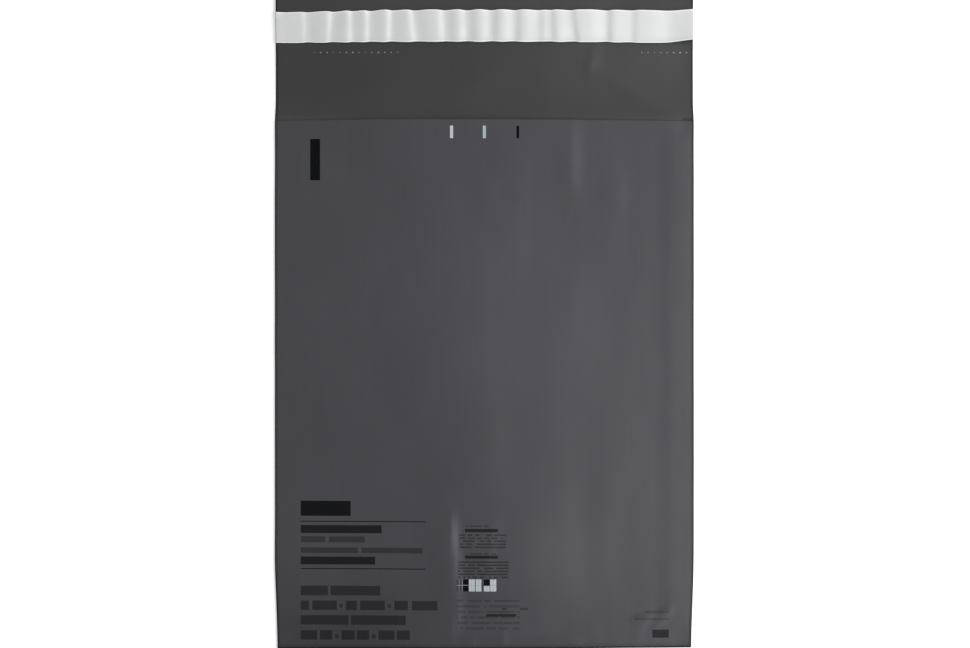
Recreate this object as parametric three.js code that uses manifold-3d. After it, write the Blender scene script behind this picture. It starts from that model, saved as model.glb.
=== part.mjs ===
// Soft poly mailer, empty, lying on its back panel with the flap open.
// One web of foam-backed film is folded up at the bottom and welded along both sides.
// Millimetres. X runs across the bag, +Y towards the flap, +Z up. The floor is Z = 0.

import * as THREE from 'three';
import { mergeVertices } from 'three/addons/utils/BufferGeometryUtils.js';
import Module from 'manifold-3d';

const wasm = await Module();
wasm.setup();

// Pocket
const insideWidth = 254;
const sideWeldWidth = 6.35;
const pocketLength = 338;

// Web: the film with its soft backing, and the front panel where the side weld squeezes it
const webThickness = 1;
const weldedFrontThickness = 0.4;
const weldShoulder = 4;

// How far the empty pocket stands open inside, at the middle of its width
const bellyHeight = 8.4;
const mouthHeight = 9.4;
const bellyRamp = 110;
const crownPower = 2.4;

// Closure on the inner side of the flap, from the mouth to the end of the flap
const flapBelowLiner = 50;
const linerHeight = 20;
const flapLip = 12;
const linerThickness = 0.2;
const adhesiveThickness = 0.2;
const linerOverlapAlong = 2;
const linerOverlapEnds = 4;

// Fineness of the curved surfaces
const stepsAcross = 24;
const stepsAlongPocket = 14;
const stepsRoundFold = 4;
const crowdingAtFold = 1.25;

// How far one solid reaches into or past another before they are joined or cut, and how near
// two corners of a surface are one
const joinOverlap = 2;
const sameCorner = 1e-5;

// Finishes
const satinFilm = { color: 0x4f4f53, roughness: 0.38, metalness: 0 };
const hotMelt = { color: 0xd9d4c4, roughness: 0.25, metalness: 0 };
const siliconeLiner = { color: 0xdadbda, roughness: 0.45, metalness: 0 };

// Places worked out from the sizes
const outerWidth = insideWidth + 2 * sideWeldWidth;
const flapLength = flapBelowLiner + linerHeight + flapLip;
const foldY = -(pocketLength + flapLength) / 2;
const creaseY = foldY + webThickness;
const mouthY = foldY + pocketLength;
const flapEndY = mouthY + flapLength;
const linerFromY = mouthY + flapBelowLiner;
const linerToY = linerFromY + linerHeight;

// 1 at the middle of the pocket, 0 at the inner edge of each weld
function crown(x) {
  const across = Math.min(Math.abs(x) / (insideWidth / 2), 1);
  return 1 - across ** crownPower;
}

// Clear height inside the pocket: none at the bottom crease, most at the mouth
function clearHeight(x, y) {
  const fromCrease = Math.max(y - creaseY, 0);
  const rise = Math.sin((Math.min(fromCrease / bellyRamp, 1) * Math.PI) / 2);
  const opening = THREE.MathUtils.smoothstep(fromCrease, bellyRamp, mouthY - creaseY);
  return THREE.MathUtils.lerp(bellyHeight * rise, mouthHeight, opening) * crown(x);
}

// The front panel keeps the web's thickness until the weld squeezes it
function frontThickness(x) {
  const free = THREE.MathUtils.smoothstep(insideWidth / 2 - Math.abs(x), 0, weldShoulder);
  return THREE.MathUtils.lerp(weldedFrontThickness, webThickness, free);
}

// Columns from side to side. They are even over the pocket, with more where the weld's
// shoulder bends.
function columnsAcross(halfWidth) {
  const shoulder = insideWidth / 2 - weldShoulder;
  const edges = [shoulder + weldShoulder / 2, insideWidth / 2, halfWidth];
  const columns = new Set(edges.flatMap((x) => [-x, x]));
  for (let step = 0; step <= stepsAcross; step += 1) {
    columns.add(THREE.MathUtils.lerp(-shoulder, shoulder, step / stepsAcross));
  }
  return [...columns].sort((a, b) => a - b);
}

// Shares of the pocket's length, closer together near the fold
function sharesAlong() {
  const shares = [];
  for (let step = 0; step <= stepsAlongPocket; step += 1) {
    shares.push((step / stepsAlongPocket) ** crowdingAtFold);
  }
  return shares;
}

// Joins shared corners, leaves out faces with no area and makes a solid of the rest
function solidOf(points, triangles) {
  const geometry = new THREE.BufferGeometry();
  geometry.setAttribute('position', new THREE.Float32BufferAttribute(points, 3));
  geometry.setIndex(triangles);
  const merged = mergeVertices(geometry, sameCorner);
  const corners = merged.index.array;
  const kept = [];
  for (let start = 0; start < corners.length; start += 3) {
    const [a, b, c] = corners.slice(start, start + 3);
    if (a !== b && b !== c && c !== a) {
      kept.push(a, b, c);
    }
  }
  return new wasm.Manifold(
    new wasm.Mesh({
      numProp: 3,
      vertProperties: merged.attributes.position.array,
      triVerts: new Uint32Array(kept),
    }),
  );
}

// A closed solid between two surfaces over the same grid. under and over turn a row and a
// column into a point, and where the two meet, the solid closes on a line.
function solidBetween(rowCount, columnCount, under, over) {
  const points = [];
  const triangles = [];
  for (const surface of [under, over]) {
    for (let row = 0; row < rowCount; row += 1) {
      for (let column = 0; column < columnCount; column += 1) {
        points.push(...surface(row, column));
      }
    }
  }
  const lower = (row, column) => row * columnCount + column;
  const upper = (row, column) => (rowCount + row) * columnCount + column;
  const quad = (a, b, c, d) => triangles.push(a, b, c, a, c, d);
  const lastRow = rowCount - 1;
  const lastColumn = columnCount - 1;
  for (let row = 0; row < lastRow; row += 1) {
    for (let column = 0; column < lastColumn; column += 1) {
      quad(
        upper(row, column),
        upper(row, column + 1),
        upper(row + 1, column + 1),
        upper(row + 1, column),
      );
      quad(
        lower(row, column),
        lower(row + 1, column),
        lower(row + 1, column + 1),
        lower(row, column + 1),
      );
    }
    quad(lower(row, 0), upper(row, 0), upper(row + 1, 0), lower(row + 1, 0));
    quad(
      lower(row, lastColumn),
      lower(row + 1, lastColumn),
      upper(row + 1, lastColumn),
      upper(row, lastColumn),
    );
  }
  for (let column = 0; column < lastColumn; column += 1) {
    quad(lower(0, column), lower(0, column + 1), upper(0, column + 1), upper(0, column));
    quad(
      lower(lastRow, column),
      upper(lastRow, column),
      upper(lastRow, column + 1),
      lower(lastRow, column + 1),
    );
  }
  return solidOf(points, triangles);
}

// Outside of the folded and welded pocket, filled in: flat below, crowned above, and round at
// the fold, where the web turns about the middle of the two panels.
function pocketOutside() {
  const columns = columnsAcross(outerWidth / 2);
  const shares = sharesAlong();
  const surface = (side) => (row, column) => {
    const x = columns[column];
    const radius = (webThickness + frontThickness(x)) / 2;
    if (row < stepsRoundFold) {
      const turn = ((row / stepsRoundFold) * Math.PI) / 2;
      return [x, foldY + radius * (1 - Math.cos(turn)), radius * (1 + side * Math.sin(turn))];
    }
    const y = THREE.MathUtils.lerp(foldY + radius, mouthY, shares[row - stepsRoundFold]);
    const top = webThickness + clearHeight(x, y) + frontThickness(x);
    return [x, y, side < 0 ? 0 : top];
  };
  return solidBetween(stepsRoundFold + shares.length, columns.length, surface(-1), surface(1));
}

// The space inside the pocket, run on past the mouth so that it cuts the mouth open
function pocketInside() {
  const columns = columnsAcross(insideWidth / 2);
  const rows = sharesAlong().map((share) => THREE.MathUtils.lerp(creaseY, mouthY, share));
  rows.push(mouthY + joinOverlap);
  const floor = (row, column) => [columns[column], rows[row], webThickness];
  const ceiling = (row, column) => {
    const [x, y] = [columns[column], rows[row]];
    return [x, y, webThickness + clearHeight(x, y)];
  };
  return solidBetween(rows.length, columns.length, floor, ceiling);
}

function slab(width, fromY, toY, fromZ, toZ) {
  const geometry = new THREE.BoxGeometry(width, toY - fromY, toZ - fromZ);
  geometry.translate(0, (fromY + toY) / 2, (fromZ + toZ) / 2);
  return geometry;
}

// The flap is the back panel carried on past the mouth, one web thick
function flap() {
  const geometry = slab(outerWidth, mouthY - joinOverlap, flapEndY, 0, webThickness);
  return solidOf(geometry.attributes.position.array, Array.from(geometry.index.array));
}

function mailerWeb() {
  const mesh = pocketOutside().subtract(pocketInside()).add(flap()).getMesh();
  const geometry = new THREE.BufferGeometry();
  geometry.setAttribute('position', new THREE.BufferAttribute(mesh.vertProperties, 3));
  geometry.setIndex(new THREE.BufferAttribute(mesh.triVerts, 1));
  geometry.computeVertexNormals();
  return geometry;
}

// Hot-melt band across the flap, smaller all round than the liner that covers it
function adhesiveBand() {
  return slab(
    outerWidth - 2 * linerOverlapEnds,
    linerFromY + linerOverlapAlong,
    linerToY - linerOverlapAlong,
    webThickness,
    webThickness + adhesiveThickness,
  );
}

// Peel-off liner on the band, cut flush with both side edges of the bag
function releaseLiner() {
  const seat = webThickness + adhesiveThickness;
  return slab(outerWidth, linerFromY, linerToY, seat, seat + linerThickness);
}

function piece(name, geometry, finish) {
  const mesh = new THREE.Mesh(geometry, new THREE.MeshStandardMaterial(finish));
  mesh.name = name;
  return mesh;
}

const mailer = new THREE.Group();
mailer.add(piece('mailer_web', mailerWeb(), satinFilm));
mailer.add(piece('adhesive_band', adhesiveBand(), hotMelt));
mailer.add(piece('release_liner', releaseLiner(), siliconeLiner));

export default mailer;
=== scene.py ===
"""Soft poly mailer, empty, lying on its back panel with the flap open.

Metres, X across the bag, +Y from the bottom fold to the flap's end, +Z up.
"""

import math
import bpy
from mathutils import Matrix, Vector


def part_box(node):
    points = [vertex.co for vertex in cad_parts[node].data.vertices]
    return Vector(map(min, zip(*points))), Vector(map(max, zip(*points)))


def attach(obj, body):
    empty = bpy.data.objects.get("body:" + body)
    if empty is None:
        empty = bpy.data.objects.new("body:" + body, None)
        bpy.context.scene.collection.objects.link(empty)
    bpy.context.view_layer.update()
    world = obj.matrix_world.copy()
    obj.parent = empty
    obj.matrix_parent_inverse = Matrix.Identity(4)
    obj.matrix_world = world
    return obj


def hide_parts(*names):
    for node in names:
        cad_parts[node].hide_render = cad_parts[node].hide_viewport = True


bl_info = {
    "name": "Soft poly mailer",
    "version": (1, 0, 0),
    "blender": (4, 5, 0),
    "location": "3D View > Sidebar > Mailer",
    "description": "Builds an empty padded film mailer with its flap open, and a plain studio round it",
    "category": "Object",
}

from typing import NamedTuple

import bpy
from bpy.props import FloatProperty, FloatVectorProperty, PointerProperty
from mathutils import Vector, noise

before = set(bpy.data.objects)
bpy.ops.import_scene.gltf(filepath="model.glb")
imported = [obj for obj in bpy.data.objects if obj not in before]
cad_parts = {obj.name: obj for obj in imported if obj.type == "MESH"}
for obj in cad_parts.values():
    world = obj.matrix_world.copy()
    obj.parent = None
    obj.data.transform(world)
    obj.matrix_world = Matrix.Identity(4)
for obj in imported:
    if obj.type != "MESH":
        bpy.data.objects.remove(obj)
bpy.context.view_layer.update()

MM = 0.001
WEB_LOW, WEB_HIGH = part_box("mailer_web")
BAND_LOW, BAND_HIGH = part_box("adhesive_band")
LINER_LOW, LINER_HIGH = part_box("release_liner")
WEB_THICKNESS = BAND_LOW.z

# The width in pixels of the picture that the camera is set for, and what a pixel spans on the bag
PICTURE_WIDTH = 970
PIXEL = 0.6396 * MM
CAMERA_HEIGHT = 1.6
CAMERA_X = 0.4 * MM
CAMERA_Y = -2.7 * MM
SENSOR = 36.0
CLIP_START = 0.05
CLIP_END = 50.0

# Shape of the pocket. Its front panel is a low roof, whose soft ridge runs aslant past the middle.
WELDED_FRONT = 0.75 * MM
WELD_SHOULDER = 10 * MM
WELD_TILT = 0.45 * MM
BELLY_RAMP = 76 * MM
FOLD_BOW = 3.6 * MM
FLAP_BOW = 4.4 * MM
FLAP_RIDGE = 8 * MM
LIP_DEPTH = 0.3 * MM
RIDGE_AT_FOLD = 14 * MM
RIDGE_AT_MOUTH = -42 * MM
ROOF_SOFTNESS = 0.22

# The share of the pocket's room that the front panel's relief may dip into
DEEPEST_DIP = 0.7

# How far the welds' tilt reaches into the pocket, and how far from the fold and the mouth it comes in
TILT_REACH = 20 * MM
TILT_FROM_FOLD = 24 * MM
TILT_TO_MOUTH = 14 * MM

# Puckers beside the welds and the fold, and the layers of noise that they are drawn from
PUCKER_RISE = 5 * MM
WELD_PUCKER_FADE = 13 * MM
WELD_PUCKER_PITCH = 8 * MM
FOLD_PUCKER_FADE = 14 * MM
FOLD_PUCKER_PITCH = 10 * MM
PUCKER_RUN = 30 * MM
RIGHT_LAYER = 20.0
LEFT_LAYER = 30.0
FOLD_LAYER = 41.0

# The hem at the mouth, and the pale line where the film turns over its lip: partly a crease, and partly
# painted light that lifts the lip's shade off the flap
HEM_LENGTH = 30 * MM
HEM_FROM_WELD = 20 * MM
TURN_REACH = 4 * MM
TURN_PALENESS = 0.7

# Where the flap, counted from the mouth, lies free, is fully bowed and has its lifted corners
FLAP_FREE_FROM = 4 * MM
FLAP_FREE_TO = 70 * MM
FLAP_BOW_TO = 55 * MM
CORNER_WIDTH = 45 * MM
CORNER_FROM = 35 * MM
CORNER_TO = 82 * MM
FACE_FREE_FROM = 1 * MM
FACE_FREE_TO = 12 * MM

# How the bag's outline runs off straight: its sides bulge over the pocket and are pulled in at the
# fold, the fold lies a little aslant, and the mouth's edge is bowed
SIDE_BULGE = 0.55 * MM
FOLD_PULL = 1.7 * MM
PULL_REACH = 60 * MM
FOLD_SHIFT = 0.1 * MM
FOLD_SLANT = 0.45 * MM
SLANT_REACH = 90 * MM
WANDER_REACH = 20 * MM
MOUTH_BOW = 0.7 * MM
MOUTH_REACH = 14 * MM
END_REACH = 12 * MM

# Fineness of the web's mesh
COLUMNS_ACROSS = 128
COLUMNS_IN_WELD = 3
ROW_STEP = 2.4 * MM
ROWS_INSIDE = 48
STEPS_ROUND_RIM = 4
STEPS_ROUND_LIP = 4
RIM_RADIUS = 0.6 * MM
FOLD_RADIUS = 1.0 * MM
RIM_SUPPORT = 0.35 * MM
# Where the rim darkens: painted shade at the fold, and at the welds partly painted shade and partly the hot
# knife's melt
MELTED_AND_SHADED_CORE = 0.35 * MM
MELTED_AND_SHADED_RIM = 1.5 * MM
FOLD_LINE_SHARE = 0.8


def clamp(value, low=0.0, high=1.0):
    return max(low, min(high, value))


def lerp(start, end, share):
    return start + (end - start) * share


def smooth(value, start, end):
    """0 before start, 1 after end and an even curve between them."""
    share = clamp((value - start) / (end - start))
    return share * share * (3 - 2 * share)


def bump(value, middle, width):
    """A bell of height 1 round the middle."""
    return math.exp(-(((value - middle) / width) ** 2))


def wave(x, y, across, along, layer):
    """Smooth noise from about -1 to 1, with swells of the given size."""
    return noise.noise(Vector((x / across, y / along, layer)))


class Swell(NamedTuple):
    """Soft swells of the film, in millimetres: how high, and how far one is across and along the bag.
    layer keeps one set of them apart from the others."""

    height: float
    across: float
    along: float
    layer: float

    def share(self, x, y):
        return wave(x, y, self.across * MM, self.along * MM, self.layer)

    def lift(self, x, y):
        return self.height * MM * self.share(x, y)

    def raised(self, x, y):
        """As lift, and never below 0."""
        return self.height * MM * (1 + self.share(x, y))


BROAD_SWELL = Swell(0.9, 95, 150, 1.0)
NARROW_SWELL = Swell(0.36, 34, 90, 4.0)
FINE_SWELL = Swell(0.1, 14, 40, 7.0)
HEM_SWELL = Swell(0.5, 36, 1, 12.0)
FLAP_SWELL = Swell(0.6, 80, 60, 15.0)
FLAP_NARROW_SWELL = Swell(0.2, 24, 40, 18.0)
FLAP_FACE_SWELL = Swell(0.12, 26, 34, 23.0)
BAND_SWELL = Swell(0.1, 6, 4, 90.0)
LINER_SWELL = Swell(0.06, 7, 9, 33.0)

# How edges wander. Where one is asked for by a share of the bag's or a strip's width, 1000 here is a
# share of 1.
LINER_WANDER = Swell(0.15, 9, 2000, 44.0)
BAND_WANDER = Swell(0.35, 11, 1500, 95.0)
SIDE_WANDER = Swell(0.12, 2000, 30, 50.0)
FOLD_WANDER = Swell(0.15, 40, 1, 60.0)
MOUTH_WANDER = Swell(0.35, 45, 1, 70.0)
END_WANDER = Swell(0.4, 60, 1, 80.0)


class Margin(NamedTuple):
    """How far from the weld and from the fold, in millimetres, the film is held before it is free."""

    from_weld: float
    from_fold: float

    def free(self, inward, up):
        return smooth(inward, 0, self.from_weld * MM) * smooth(up, 0, self.from_fold * MM)


SWELL_MARGIN = Margin(34, 50)
FINE_MARGIN = Margin(16, 12)
RIDGE_MARGIN = Margin(10, 7)


class Ridge(NamedTuple):
    """A soft ridge in the film, in millimetres from the bag's middle and from its fold. right and left
    are how far it spreads to each side, seen along its run."""

    from_x: float
    from_y: float
    to_x: float
    to_y: float
    right: float
    left: float
    height: float


FRONT_RIDGES = (
    Ridge(12, 6, 10, 90, 42.0, 46.0, 2.2),
    Ridge(-21.5, 34, -22.0, 88, 4.5, 12.0, 1.3),
    Ridge(-17.6, 4, -19.6, 34, 4.0, 9.0, 0.5),
    Ridge(3.5, 58, 8.0, 82, 3.0, 5.0, 0.45),
    Ridge(4.0, 44, 1.0, 60, 3.0, 5.0, 0.45),
    Ridge(-8.0, 2, -8.0, 11, 2.4, 3.5, 0.35),
    Ridge(12.5, 2, 12.5, 12, 2.4, 3.5, 0.35),
    Ridge(55, 286, 54, 337, 6.0, 12.0, 0.6),
    Ridge(3, 286, 3, 302, 5.0, 8.0, 0.3),
    Ridge(85, 280, 85, 300, 5.0, 8.0, 0.3),
    Ridge(97, 17, 118, 22.5, 1.5, 2.5, 0.4),
    Ridge(102, 3, 121, 25.5, 2.0, 4.0, 0.6),
    Ridge(-120, 6, -104, 20, 2.4, 2.4, 0.3),
    Ridge(-96, 318, -60, 333, 5.0, 7.0, 0.35),
)
FLAP_RIDGES = (
    Ridge(61, 375, 121, 341, 6.0, 5.0, 0.4),
    Ridge(-118, 372, -96, 352, 4.0, 4.0, 0.3),
    Ridge(66, 366, 70, 384, 4.0, 3.0, 0.3),
    Ridge(-30, 345, 10, 372, 8.0, 6.0, 0.35),
)

# Painted light and shade on the film: places painted paler as highlights, or darker as shade. The last
# number is the share of paleness. The first five are broad painted light and shade, the last is painted
# shadow under the liner's lifted end, and the others are painted highlights and shade along creases.
PAINTED_LIGHT_MARKS = (
    Ridge(34, 150, 28, 290, 72.0, 72.0, 0.3),
    Ridge(-150, 0, -26, 6, 60.0, 42.0, -0.7),
    Ridge(-112, 342, -112, 400, 62.0, 62.0, -0.3),
    Ridge(100, 342, 100, 420, 60.0, 60.0, 0.28),
    Ridge(-80, 414, 120, 414, 14.0, 14.0, 0.42),
    Ridge(-18.8, 61, -19.4, 85, 3.2, 1.3, 1.6),
    Ridge(-16.2, 40, -16.6, 61, 3.6, 1.6, 0.95),
    Ridge(-15.8, 12, -16.0, 42, 3.4, 1.6, 0.75),
    Ridge(-19.2, 3, -19.4, 22, 2.4, 1.2, 0.55),
    Ridge(5.4, 60, 6.6, 82, 1.6, 1.2, 0.4),
    Ridge(-5.4, 2, -5.4, 7, 1.6, 1.2, 0.5),
    Ridge(14.6, 2, 14.4, 8, 1.6, 1.2, 0.6),
    Ridge(62.6, 2, 62.0, 7, 1.8, 1.4, 0.4),
    Ridge(99, 2, 109, 26, 3.4, 2.2, 0.55),
    Ridge(91, 18.5, 117, 25.5, 1.5, 1.5, -0.5),
    Ridge(57.5, 292, 57.5, 335, 4.5, 2.6, 0.25),
    Ridge(117, 387.2, 135, 389.4, 2.2, 2.2, -1.3),
)
RIDGE_END_SHARE = 0.35


def ridge_height(ridge, x, y):
    """How far a ridge lifts the film at a place given in millimetres."""
    run_x = ridge.to_x - ridge.from_x
    run_y = ridge.to_y - ridge.from_y
    off_x = x - ridge.from_x
    off_y = y - ridge.from_y
    near = clamp((off_x * run_x + off_y * run_y) / (run_x * run_x + run_y * run_y))
    off = math.hypot(off_x - near * run_x, off_y - near * run_y)
    spread = ridge.left if run_x * off_y > run_y * off_x else ridge.right
    taper = lerp(RIDGE_END_SHARE, 1, math.sin(math.pi * near))
    return ridge.height * taper * math.exp(-((off / spread) ** 2))


class Places:
    """Where the bag's edges and lines are, from its box and the user's sizes."""

    def __init__(self, shape):
        self.shape = shape
        self.half_width = WEB_HIGH.x
        self.half_inside = WEB_HIGH.x - shape.weld_width
        self.web = shape.web_thickness
        self.fold = WEB_LOW.y
        self.crease = self.fold + self.web
        self.mouth = self.fold + shape.pocket_length
        self.flap_end = WEB_HIGH.y

    def crown(self, x, ridge):
        """1 on a ridge along the bag and 0 at the welds, with even slopes on both sides."""
        run = self.half_inside - ridge if x > ridge else self.half_inside + ridge
        share = min(abs(x - ridge) / run, 1)
        fall = math.hypot(share, ROOF_SOFTNESS) - ROOF_SOFTNESS
        return 1 - fall / (math.hypot(1, ROOF_SOFTNESS) - ROOF_SOFTNESS)

    def clear_height(self, x, y):
        """How far the empty pocket stands open."""
        from_crease = max(y - self.crease, 0)
        rise = smooth(from_crease, -4 * MM, BELLY_RAMP) * smooth(from_crease, 0, 6 * MM)
        opening = smooth(from_crease, BELLY_RAMP, self.mouth - self.crease)
        ridge = lerp(RIDGE_AT_FOLD, RIDGE_AT_MOUTH, smooth(y, self.fold, self.mouth))
        height = lerp(self.shape.belly_height * rise, self.shape.mouth_height, opening)
        return height * self.crown(x, ridge)

    def front_thickness(self, x):
        """The front panel is thinner where the weld squeezes it."""
        free = smooth(self.half_inside - abs(x), 0, WELD_SHOULDER)
        return lerp(WELDED_FRONT, self.web, free)

    def sum_of(self, ridges, x, y):
        """What some ridges or marks come to at a place."""
        return sum(ridge_height(ridge, x / MM, (y - self.fold) / MM) for ridge in ridges)

    def puckers(self, x, y):
        """Share of the puckers' height: small gathers of the film beside the welds and the fold."""
        inward = self.half_inside - abs(x)
        up = y - self.crease
        side = RIGHT_LAYER if x > 0 else LEFT_LAYER
        beside = smooth(inward, 0, PUCKER_RISE) * math.exp(-inward / WELD_PUCKER_FADE)
        beside *= smooth(up, 4 * MM, 20 * MM)
        beside *= noise.noise(Vector((side, y / WELD_PUCKER_PITCH, inward / PUCKER_RUN)))
        low = smooth(up, 0, PUCKER_RISE) * math.exp(-up / FOLD_PUCKER_FADE)
        low *= smooth(inward, 3 * MM, 18 * MM)
        low *= noise.noise(Vector((x / FOLD_PUCKER_PITCH, FOLD_LAYER, up / PUCKER_RUN)))
        return 2 * (beside + low)

    def front_relief(self, x, y):
        """Swells, puckers at the welds and ridges of the slack front panel."""
        inward = self.half_inside - abs(x)
        up = y - self.crease
        if inward <= 0 or up <= 0:
            return 0.0
        relief = (BROAD_SWELL.lift(x, y) + NARROW_SWELL.lift(x, y)) * SWELL_MARGIN.free(inward, up)
        relief += FINE_SWELL.lift(x, y) * FINE_MARGIN.free(inward, up)
        relief += self.shape.pucker_height * self.puckers(x, y)
        hem = smooth(y, self.mouth - HEM_LENGTH, self.mouth) * smooth(inward, 0, HEM_FROM_WELD)
        relief += HEM_SWELL.lift(x, 0.0) * hem
        relief += self.sum_of(FRONT_RIDGES, x, y) * MM * RIDGE_MARGIN.free(inward, up)
        return max(relief, -DEEPEST_DIP * self.clear_height(x, y))

    def painted_light(self, x, y):
        """Painted light and shade on the film, as a share of its colour: painted highlights and shade over
        creases and in broad patches, and the pale line where the flap turns over.
        """
        # Pale line over the lip: partly a crease, partly painted light over the lip's shade on the flap
        turning = TURN_PALENESS * (1 - smooth(y, self.mouth, self.mouth + TURN_REACH))
        if y <= self.mouth - LIP_DEPTH:
            turning = 0
        return turning + self.sum_of(PAINTED_LIGHT_MARKS, x, y)

    def underside(self, x, y):
        """How far the pocket's back stands off the surface. The pull of the pocket tilts each weld, so
        that its inner side is higher than its edge, and the middle of the fold is bowed up."""
        outward = abs(x) - self.half_inside
        near = 1 - outward / self.shape.weld_width if outward > 0 else 1 - smooth(-outward, 0, TILT_REACH)
        along = smooth(y, self.crease, self.crease + TILT_FROM_FOLD)
        along *= 1 - smooth(y, self.mouth - TILT_TO_MOUTH, self.mouth)
        bow = self.crown(x, RIDGE_AT_FOLD) * (1 - smooth(y, self.fold, self.fold + BELLY_RAMP))
        return WELD_TILT * clamp(near) * along + FOLD_BOW * bow

    def flap_lift(self, x, y):
        """How far the flap stands off the surface that the bag lies on."""
        beyond = y - self.mouth
        if beyond <= 0:
            return 0.0
        lift = FLAP_SWELL.raised(x, y) + FLAP_NARROW_SWELL.raised(x, y)
        lift *= smooth(beyond, FLAP_FREE_FROM, FLAP_FREE_TO)
        lift += FLAP_BOW * self.crown(x, FLAP_RIDGE) * smooth(beyond, 0, FLAP_BOW_TO)
        corner = smooth(abs(x), self.half_width - CORNER_WIDTH, self.half_width)
        corner *= smooth(beyond, CORNER_FROM, CORNER_TO)
        return lift + self.shape.corner_lift * corner * corner

    def flap_relief(self, x, y):
        """Ridges of the flap's upper face."""
        free = smooth(y - self.mouth, FACE_FREE_FROM, FACE_FREE_TO)
        return FLAP_FACE_SWELL.lift(x, y) * free + self.sum_of(FLAP_RIDGES, x, y) * MM

    def front_top(self, x, y):
        panels = self.underside(x, y) + self.web + self.front_thickness(x)
        return panels + self.clear_height(x, y) + self.front_relief(x, y)

    def flap_top(self, x, y):
        return self.web + self.flap_lift(x, y) + self.flap_relief(x, y)

    def settled(self, x, y, z):
        """A corner moved to the bag's slightly uneven outline."""
        share = x / self.half_width
        from_fold = y - self.fold
        pull = FOLD_PULL * (1 - smooth(from_fold, 0, PULL_REACH)) + SIDE_WANDER.lift(share, y)
        pull -= SIDE_BULGE * (1 - smooth(y, self.mouth - 2 * MM, self.mouth + 12 * MM))
        tilt = (FOLD_SHIFT + FOLD_SLANT * share) * (1 - smooth(from_fold, 0, SLANT_REACH))
        tilt += FOLD_WANDER.lift(x, 0.0) * (1 - smooth(from_fold, 0, WANDER_REACH))
        drop = MOUTH_BOW * min(abs(share), 1) ** 2
        tilt += (MOUTH_WANDER.lift(x, 0.0) - drop) * bump(y, self.mouth, MOUTH_REACH)
        tilt += END_WANDER.lift(x, 0.0) * smooth(y, self.flap_end - END_REACH, self.flap_end)
        return (x - share * pull, y + tilt, z)


def fullness(distance, radius):
    """Share of the full thickness at this distance from a rounded rim."""
    inner = clamp(1 - distance / radius)
    return math.sqrt(max(1 - inner * inner, 0))


def rim_steps(radius):
    """Distances from a rim to the corners that round it, from the inner side out to 0."""
    steps = [radius + RIM_SUPPORT]
    for step in range(STEPS_ROUND_RIM, -1, -1):
        steps.append(radius * (1 - math.cos(step / STEPS_ROUND_RIM * math.pi / 2)))
    return steps


def rim_values(low, high, step, radius_low, radius_high):
    """Places from low to high, evenly spaced between two rounded rims. A radius of 0 leaves a rim plain."""
    start = [low + distance for distance in reversed(rim_steps(radius_low))] if radius_low else [low]
    end = [high - distance for distance in rim_steps(radius_high)] if radius_high else [high]
    count = max(1, round((end[0] - start[-1]) / step))
    middle = [lerp(start[-1], end[0], index / count) for index in range(1, count)]
    return start + middle + end


def travelled(values, start, end):
    """The values' places between start and end, by how far along they are."""
    low = values[0]
    span = values[-1] - low
    return [lerp(start, end, (value - low) / span) for value in values]


# Names of the numbers that each corner carries: how near it is to the piece's cut or melted edge or its fold,
# and how much painted light or shade its film gets there
EDGE = "edge"
PAINTED_LIGHT = "painted_light"


class Draft:
    """Corners and faces of a mesh, and each face's place on the map that its finish is baked to."""

    def __init__(self):
        self.corners = []
        self.numbers = {EDGE: [], PAINTED_LIGHT: []}
        self.faces = []
        self.charts = []
        self.finishes = []

    def corner(self, x, y, z, edge=0.0, painted_light=0.0):
        """Adds a corner. edge is 1 on the piece's cut or melted edge or its fold, and 0 away from it. The
        last number is the share of painted light or shade there.
        """
        self.corners.append((x, y, z))
        self.numbers[EDGE].append(edge)
        self.numbers[PAINTED_LIGHT].append(painted_light)
        return len(self.corners) - 1

    def face(self, corners, chart, finish=0):
        """A face, unless its corners fall together. A corner that comes twice in a row is kept once."""
        kept = []
        places = []
        for index, corner in enumerate(corners):
            if corner != corners[index - 1]:
                kept.append(corner)
                places.append(chart[index])
        if len(kept) < 3:
            return
        self.faces.append(kept)
        self.charts.append(places)
        self.finishes.append(finish)

    def sheet(self, rows, run, across, chart, finish=0, turned=False, swapped=False, skip=()):
        """Faces between rows of corners. They face up when rows run along +Y and columns along +X. run
        and across are the places of the rows and columns, which spread over a part of the baked map."""
        left, right, bottom, top = chart
        chart_rows = travelled(run, left, right) if swapped else travelled(run, bottom, top)
        chart_columns = travelled(across, bottom, top) if swapped else travelled(across, left, right)
        for row in range(len(rows) - 1):
            for column in range(len(rows[row]) - 1):
                if (row, column) in skip:
                    continue
                steps = ((row, column), (row, column + 1), (row + 1, column + 1), (row + 1, column))
                if turned:
                    steps = steps[::-1]
                corners = [rows[r][c] for r, c in steps]
                if swapped:
                    chart = [(chart_rows[r], chart_columns[c]) for r, c in steps]
                else:
                    chart = [(chart_columns[c], chart_rows[r]) for r, c in steps]
                self.face(corners, chart, finish)

    def mesh(self, name):
        made = bpy.data.meshes.new(name)
        made.from_pydata(self.corners, [], self.faces)
        chart = made.uv_layers.new(name="OFBake")
        flat = [value for places in self.charts for place in places for value in place]
        chart.data.foreach_set("uv", flat)
        for number, values in self.numbers.items():
            made.attributes.new(number, "FLOAT", "POINT").data.foreach_set("value", values)
        made.polygons.foreach_set("material_index", self.finishes)
        made.polygons.foreach_set("use_smooth", [True] * len(self.faces))
        made.update()
        return made


# Parts of the square map that the web's finish is baked to: left, right, bottom and top
FRONT_CHART = (0.004, 0.740, 0.004, 0.940)
FLAP_CHART = (0.752, 0.978, 0.004, 0.740)
BACK_CHART = (0.752, 0.996, 0.752, 0.940)
CEILING_CHART = (0.004, 0.490, 0.952, 0.996)
FLOOR_CHART = (0.510, 0.996, 0.952, 0.996)
LIP_MAP_STEP = 0.5
PRINTED = 0
PLAIN = 1


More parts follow.
